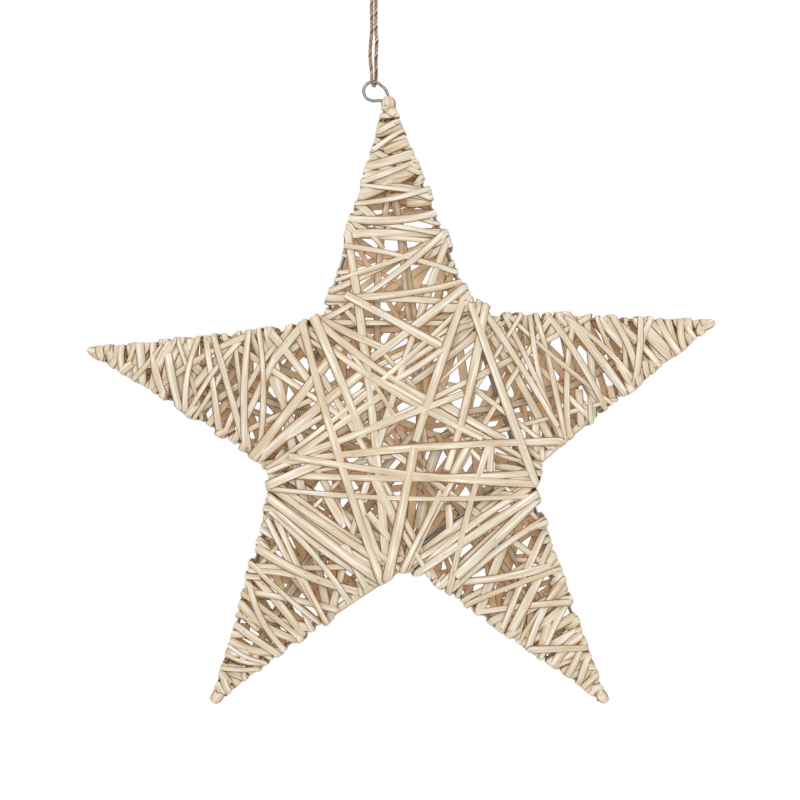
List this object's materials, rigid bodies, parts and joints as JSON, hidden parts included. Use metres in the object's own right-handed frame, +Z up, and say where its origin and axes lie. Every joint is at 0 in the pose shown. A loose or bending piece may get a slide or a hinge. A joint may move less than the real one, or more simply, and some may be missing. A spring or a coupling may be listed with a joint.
{
  "type": "willow star wall decoration",
  "caption": "Five-pointed star of split willow wound on a double wire frame, with a wire ring and a loop of twine, to hang on a wall.",
  "frame": {"origin": "the hanging point, the inside top of the twine's eye, where a hook or nail bears", "axes": "+X to the right and +Z up as the star hangs, seen from its front, which faces -Y; Y is its depth"},
  "size_m": [0.507, 0.0598, 0.6034],
  "materials": {
    "willow": "peeled split willow, pale cream and dry",
    "steel_wire": "bright galvanised wire",
    "jute_twine": "brown jute twine, twisted"
  },
  "bodies": {
    "root": {"arm_top_front": "willow", "arm_top_back": "willow", "arm_top_clockwise_side": "willow", "arm_top_anticlockwise_side": "willow", "arm_top_tip_wrap": "willow", "arm_right_front": "willow", "arm_right_back": "willow", "arm_right_clockwise_side": "willow", "arm_right_anticlockwise_side": "willow", "arm_right_tip_wrap": "willow", "arm_lower_right_front": "willow", "arm_lower_right_back": "willow", "arm_lower_right_clockwise_side": "willow", "arm_lower_right_anticlockwise_side": "willow", "arm_lower_right_tip_wrap": "willow", "arm_lower_left_front": "willow", "arm_lower_left_back": "willow", "arm_lower_left_clockwise_side": "willow", "arm_lower_left_anticlockwise_side": "willow", "arm_lower_left_tip_wrap": "willow", "arm_left_front": "willow", "arm_left_back": "willow", "arm_left_clockwise_side": "willow", "arm_left_anticlockwise_side": "willow", "arm_left_tip_wrap": "willow", "notch_top_to_right": "willow", "notch_right_to_lower_right": "willow", "notch_lower_right_to_lower_left": "willow", "notch_lower_left_to_left": "willow", "notch_left_to_top": "willow", "body_front": "willow", "body_back": "willow", "wire_front_top": "steel_wire", "wire_front_right": "steel_wire", "wire_front_lower_right": "steel_wire", "wire_front_lower_left": "steel_wire", "wire_front_left": "steel_wire", "wire_back_top": "steel_wire", "wire_back_right": "steel_wire", "wire_back_lower_right": "steel_wire", "wire_back_lower_left": "steel_wire", "wire_back_left": "steel_wire", "hanging_ring": "steel_wire", "twine_eye": "jute_twine", "twine_knot": "jute_twine", "twine_legs": "jute_twine"}
  },
  "joints": []
}
